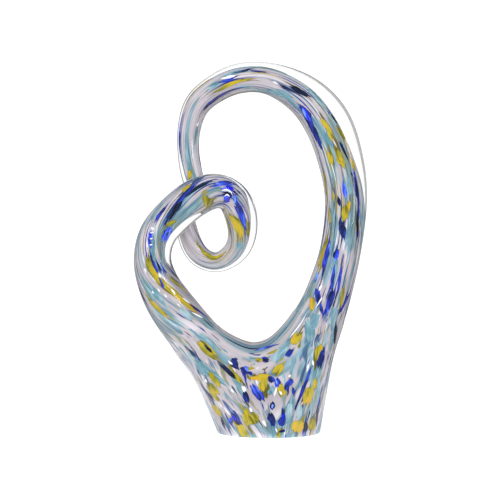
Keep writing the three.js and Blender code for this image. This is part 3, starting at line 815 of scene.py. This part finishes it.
# How near each point of the core is to chips of each colour: 1 on a chip, fading out round it
TRAIL_LENGTH = 5 * MM
TRAIL_WIDTH = 0.6 * MM
TRAIL_SHARE = 0.3
for colour, rows in trails.items():
    near = np.zeros(len(core_layer["points"]))
    for trail in np.array(rows):
        offset = core_layer["points"] - trail[:3]
        along = offset @ trail[3:6]
        across = np.linalg.norm(offset - along[:, None] * trail[3:6], axis=1)
        spread = (along / TRAIL_LENGTH) ** 2 + (across / (TRAIL_WIDTH + TRAIL_SHARE * trail[6])) ** 2
        near = np.maximum(near, np.exp(-0.5 * spread) * (1 - lip))
    mark_core(f"near_{colour}", near)


# Materials
NOISE_ROUGHNESS = 0.55
BURIED_ROUGHNESS = 0.6


def new_material(name):
    material = bpy.data.materials.new(name)
    material.use_nodes = True
    tree = material.node_tree
    return material, tree, tree.nodes["Principled BSDF"]


def node(tree, kind, **settings):
    made = tree.nodes.new(kind)
    for key, value in settings.items():
        setattr(made, key, value)
    return made


def ramp(tree, stops, source):
    """Colours at stops between 0 and 1, picked by a source."""
    made = node(tree, "ShaderNodeValToRGB")
    elements = made.color_ramp.elements
    while len(elements) < len(stops):
        elements.new(0.5)
    for element, (place, colour) in zip(elements, stops):
        element.position = place
        element.color = (*colour, 1)
    tree.links.new(source, made.inputs["Fac"])
    return made.outputs["Color"]


def noise(tree, vector, scale, detail=3.0, offset=(0, 0, 0)):
    shift = node(tree, "ShaderNodeVectorMath", operation="ADD")
    shift.inputs[1].default_value = offset
    tree.links.new(vector, shift.inputs[0])
    made = node(tree, "ShaderNodeTexNoise")
    made.inputs["Scale"].default_value = scale
    made.inputs["Detail"].default_value = detail
    made.inputs["Roughness"].default_value = NOISE_ROUGHNESS
    tree.links.new(shift.outputs[0], made.inputs["Vector"])
    return made.outputs["Fac"]


def attribute(tree, name, output):
    made = node(tree, "ShaderNodeAttribute", attribute_name=name)
    return made.outputs[output]


def window(tree, source, low, high, least=0.0):
    """A soft step of a source: from the least share at low to 1 at high."""
    made = node(tree, "ShaderNodeMapRange", interpolation_type="SMOOTHSTEP")
    made.inputs["From Min"].default_value = low
    made.inputs["From Max"].default_value = high
    made.inputs["To Min"].default_value = least
    tree.links.new(source, made.inputs["Value"])
    return made.outputs["Result"]


def mixed(tree, share, first, second):
    made = node(tree, "ShaderNodeMix", data_type="RGBA")
    tree.links.new(share, made.inputs["Factor"])
    for source, socket in ((first, made.inputs["A"]), (second, made.inputs["B"])):
        if isinstance(source, tuple):
            socket.default_value = (*source, 1)
        else:
            tree.links.new(source, socket)
    return made.outputs["Result"]


def linear(code):
    """A colour written as six hex digits, as linear red, green and blue."""
    parts = [int(code[k:k + 2], 16) / 255 for k in (0, 2, 4)]
    return tuple(p / 12.92 if p <= 0.04045 else ((p + 0.055) / 1.055) ** 2.4 for p in parts)


def buried(shader):
    """No gloss of its own: the glass over it carries the gloss."""
    shader.inputs["Specular IOR Level"].default_value = 0.0
    shader.inputs["Roughness"].default_value = BURIED_ROUGHNESS


def times(tree, first, second):
    made = node(tree, "ShaderNodeMath", operation="MULTIPLY")
    tree.links.new(first, made.inputs[0])
    tree.links.new(second, made.inputs[1])
    return made.outputs[0]


def scaled(tree, vector, scale):
    made = node(tree, "ShaderNodeVectorMath", operation="MULTIPLY")
    made.inputs[1].default_value = scale
    tree.links.new(vector, made.inputs[0])
    return made.outputs[0]


# Pattern heights between which the core's lines fade towards the limbs' tips, and the share that stays
CALM_START = 12.35
CALM_FULL = 12.85
CALM_SHARE = 0.35
# How much denser streaks are on a chip, and the noise at which a streak starts and is full
STREAK_GAIN = 0.15
STREAK_START = 0.63
STREAK_FULL = 0.68
# How much patterns are drawn out along the pull
DRAWN_OUT = (1, 1, 0.2)


def streaked(tree, base, drawn, colour, stops, offset):
    """The base with thin streaks of a chip's colour, dense round the chips and rare elsewhere."""
    threads = noise(tree, drawn, 5.5, 2.5, offset=offset)
    lifted = node(tree, "ShaderNodeMath", operation="MULTIPLY_ADD")
    lifted.inputs[1].default_value = STREAK_GAIN
    tree.links.new(attribute(tree, f"near_{colour}", "Fac"), lifted.inputs[0])
    tree.links.new(threads, lifted.inputs[2])
    tint = ramp(tree, stops, noise(tree, drawn, 3.0, 1.0, offset=offset[::-1]))
    return mixed(tree, window(tree, lifted.outputs[0], STREAK_START, STREAK_FULL), base, tint)


def opal_colour(tree):
    """Cloudy lilac with teal patches, drawn out into fine lines, and streaked by the chips."""
    cloth = attribute(tree, "cloth", "Vector")
    cloudy = ramp(tree, [
        (0.3, linear("aaa2a9")), (0.5, linear("bab2b8")), (0.7, linear("d0cad0")),
    ], noise(tree, cloth, 1.3, 2.0))
    teal = ramp(tree, [
        (0.3, linear("5a7c89")), (0.5, linear("7695a3")), (0.7, linear("9db6c1")),
    ], noise(tree, cloth, 2.2, 2.0, offset=(7, 3, 1)))
    patches = window(tree, noise(tree, cloth, 0.9, 1.0, offset=(3, 11, 5)), 0.54, 0.59)
    base = mixed(tree, patches, cloudy, teal)
    parts = node(tree, "ShaderNodeSeparateXYZ")
    tree.links.new(cloth, parts.inputs[0])
    lively = window(tree, parts.outputs["Z"], CALM_FULL, CALM_START, CALM_SHARE)
    lively = times(tree, lively, window(tree, attribute(tree, "lip", "Fac"), 1.0, 0.0, CALM_SHARE))
    drawn = scaled(tree, cloth, DRAWN_OUT)
    lines = noise(tree, drawn, 4.5, 2.0, offset=(2, 9, 4))
    shades = ramp(tree, [
        (0.36, linear("2a3a70")), (0.46, linear("4a6d88")),
        (0.56, linear("6a8c9c")), (0.64, linear("84855a")),
    ], noise(tree, drawn, 1.6, 1.0, offset=(13, 2, 8)))
    lined = mixed(tree, times(tree, lively, window(tree, lines, 0.45, 0.38)), base, shades)
    lined = mixed(tree, times(tree, lively, window(tree, lines, 0.65, 0.7)), lined, linear("e9e6ed"))
    for colour, codes, offset in (
        ("turquoise", ("5b8896", "86aebb"), (5, 1, 7)),
        ("amber", ("5e5a1e", "a3961c"), (1, 8, 3)),
        ("cobalt", ("12224e", "2236a4"), (9, 4, 2)),
    ):
        stops = [(0.4, linear(codes[0])), (0.6, linear(codes[1]))]
        lined = streaked(tree, lined, drawn, colour, stops, offset)
    return lined


# Share of the light that passes into the opal glass, and how far it spreads there
OPAL_GLOW = 0.7
OPAL_REACH = 8 * MM
opal, tree, shader = new_material("opal_glass")
buried(shader)
shader.inputs["Subsurface Weight"].default_value = OPAL_GLOW
shader.inputs["Subsurface Scale"].default_value = OPAL_REACH
shader.inputs["Subsurface Radius"].default_value = (1.0, 1.0, 1.0)
tree.links.new(opal_colour(tree), shader.inputs["Base Color"])
core.data.materials.append(opal)

# Chips: colours from dark to light, the colour of the thin rim, and how far in from the edge it reaches
CHIP_STOPS = {
    "cobalt": [(0.1, "0e153c"), (0.32, "1c2a64"), (0.55, "2a3ab0"), (0.78, "3c58dc"), (1.0, "8ab0ff")],
    "amber": [(0.05, "525020"), (0.28, "88842a"), (0.5, "aea02c"), (0.75, "c4a82c"), (1.0, "dc9a34")],
    "turquoise": [(0.1, "527f8e"), (0.5, "7b9fac"), (0.9, "a9c2cc")],
    "deep": [(0.1, "080c1e"), (0.4, "14203c"), (0.65, "22365e"), (0.9, "4a6c9a")],
    "bright": [(0.15, "1c1ed0"), (0.5, "2c40f4"), (0.85, "7ca8ff")],
    # White: the colour of the white glass bits and of the painted highlights and reflections
    "white": [(0.3, "e8e8f0"), (0.7, "ffffff")],
}
CHIP_EDGES = {
    "cobalt": "070a2e", "deep": "1a2c44", "amber": "3f3c14", "turquoise": "7fa3ae",
    # White: the rim of the white glass bits and of the painted highlights and reflections
    "bright": "181c90", "white": "d6d2da",
}
RIM_REACH = 0.4
# How much of a chip's shade is its strand's own tone, the rest being streaks
TONE_SHARE = 0.5
chip_looks = {}
for colour, stops in CHIP_STOPS.items():
    material, tree, shader = new_material(f"{colour}_glass")
    buried(shader)
    streaks = window(tree, noise(tree, attribute(tree, "grain", "Vector"), 1.0, 3.0), 0.3, 0.7)
    blend = node(tree, "ShaderNodeMix", data_type="FLOAT")
    blend.inputs["Factor"].default_value = TONE_SHARE
    tree.links.new(streaks, blend.inputs["A"])
    tree.links.new(attribute(tree, "tone", "Fac"), blend.inputs["B"])
    tint = ramp(tree, [(p, linear(c)) for p, c in stops], blend.outputs["Result"])
    edge = window(tree, attribute(tree, "rim", "Fac"), 0.0, RIM_REACH)
    tree.links.new(mixed(tree, edge, linear(CHIP_EDGES[colour]), tint), shader.inputs["Base Color"])
    chip_looks[colour] = material
for chip, colour, _ in chips:
    chip.data.materials.append(chip_looks[colour])

# The clear casing: nearly colourless, with a breath of haze
CLEAR_TINT = (0.99, 1, 1, 1)
MOST_HAZE = 0.02
clear, tree, shader = new_material("clear_glass")
shader.inputs["Transmission Weight"].default_value = 1.0
shader.inputs["IOR"].default_value = GLASS_IOR
shader.inputs["Base Color"].default_value = CLEAR_TINT
breath = noise(tree, attribute(tree, "cloth", "Vector"), 3.0, 2.0)
haze = node(tree, "ShaderNodeMapRange")
haze.inputs["To Min"].default_value = 0.0
haze.inputs["To Max"].default_value = MOST_HAZE
tree.links.new(breath, haze.inputs["Value"])
tree.links.new(haze.outputs["Result"], shader.inputs["Roughness"])
casing.data.materials.append(clear)
# Light passes the clear glass on its way to the core
casing.visible_shadow = False

# Floor: white paper under the sculpture that fades into the white surroundings
FLOOR_RADIUS = 0.4
FLOOR_SIDES = 96
FLOOR_GLOW = 0.5
FADE_START = 0.1
FADE_END = 0.35
PAPER_STOPS = [(0.3, (0.9, 0.9, 0.9)), (0.7, (0.93, 0.93, 0.93))]
floor_angles = np.linspace(0, TURN, FLOOR_SIDES, False)
floor_ring = [(FLOOR_RADIUS * math.cos(a), FLOOR_RADIUS * math.sin(a), 0) for a in floor_angles]
floor = mesh_object("floor", floor_ring, [list(range(FLOOR_SIDES))])
paper, tree, shader = new_material("white_paper")
shader.inputs["Roughness"].default_value = 0.9
shader.inputs["Specular IOR Level"].default_value = 0.1
shader.inputs["Emission Color"].default_value = (1, 1, 1, 1)
shader.inputs["Emission Strength"].default_value = FLOOR_GLOW
floor_place = node(tree, "ShaderNodeTexCoord").outputs["Object"]
fibre = noise(tree, floor_place, 400.0)
tree.links.new(ramp(tree, PAPER_STOPS, fibre), shader.inputs["Base Color"])
reach = node(tree, "ShaderNodeVectorMath", operation="LENGTH")
tree.links.new(floor_place, reach.inputs[0])
fade = node(tree, "ShaderNodeMapRange", interpolation_type="SMOOTHSTEP")
fade.inputs["From Min"].default_value = FADE_START
fade.inputs["From Max"].default_value = FADE_END
fade.inputs["To Min"].default_value = 1.0
fade.inputs["To Max"].default_value = 0.0
tree.links.new(reach.outputs["Value"], fade.inputs["Value"])
tree.links.new(fade.outputs["Result"], shader.inputs["Alpha"])
floor.data.materials.append(paper)

# Light: soft boxes in a white studio, with grey sides that show only in the glass and draw its edges
STUDIO_STRENGTH = 1.15
world = bpy.data.worlds.new("studio")
bpy.context.scene.world = world
world.use_nodes = True
tree = world.node_tree
background = tree.nodes["Background"]
direction = node(tree, "ShaderNodeTexCoord").outputs["Generated"]
split = node(tree, "ShaderNodeSeparateXYZ")
tree.links.new(direction, split.inputs[0])
MIRRORED_GREY = (0.25, 0.25, 0.25)
FRONT_GREY = (0.4, 0.4, 0.4)
SIDE_GREY = (0.04, 0.04, 0.03)
WHITE = (1.0, 1.0, 1.0)
facing = node(tree, "ShaderNodeMapRange")
facing.inputs["From Min"].default_value = -1.0
tree.links.new(split.outputs["Y"], facing.inputs["Value"])
STUDIO_STOPS = [(0.3, FRONT_GREY), (0.4, SIDE_GREY), (0.69, SIDE_GREY), (0.8, WHITE)]
sky = ramp(tree, STUDIO_STOPS, facing.outputs["Result"])
path = node(tree, "ShaderNodeLightPath").outputs
sky = mixed(tree, path["Is Reflection Ray"], sky, MIRRORED_GREY)
sky = mixed(tree, path["Is Camera Ray"], sky, WHITE)
tree.links.new(sky, background.inputs["Color"])
background.inputs["Strength"].default_value = STUDIO_STRENGTH


MIDDLE = Vector((0, 0, 0.15))


def soft_box(name, place, width, height, watts, mirrored=False):
    """A lamp behind cloth: one that the glass mirrors, or one that only lights the colours inside."""
    data = bpy.data.lights.new(name, "AREA")
    data.shape = "RECTANGLE"
    data.size = width
    data.size_y = height
    data.energy = watts
    box = bpy.data.objects.new(name, data)
    box.location = place
    box.rotation_euler = (MIDDLE - Vector(place)).to_track_quat("-Z", "Y").to_euler()
    box.visible_glossy = mirrored
    box.visible_transmission = mirrored
    bpy.context.scene.collection.objects.link(box)


soft_box("key", (-0.8, -1.4, 0.9), 0.5, 1.0, 14)
soft_box("front", (0, -2.0, 0.0), 2.0, 1.5, 29)
soft_box("left", (-1.8, -0.2, 0.4), 1.5, 1.5, 12)
soft_box("right", (1.8, -0.2, 0.4), 1.5, 1.5, 12)
soft_box("top", (0.1, -0.1, 1.8), 1.2, 1.2, 8)
soft_box("glint", (-0.8, -1.4, 0.9), 0.35, 0.9, 4.5, mirrored=True)
soft_box("glint_opposite", (1.2, -1.2, 0.5), 0.3, 0.9, 3.5, mirrored=True)

# Glass of the record for colours that have none of their own, paired with each piece below but set on
# none; each piece rides the root, and the frame's parts it replaces are hidden
# The white pieces, painted highlights and reflections among them, would count as opal glass
SLOTS = {"white": "opal_glass", "deep": "cobalt_glass", "bright": "cobalt_glass"}
for piece, slot, nodes in (
    (casing, "clear_glass", ["clear_casing"]),
    (core, "opal_glass", ["opal_core"]),
    *((chip, SLOTS.get(colour, f"{colour}_glass"), nodes) for chip, colour, nodes in chips),
):
    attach(piece, "root")
    if nodes:
        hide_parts(*nodes)

bpy.context.scene.view_settings.view_transform = "Standard"
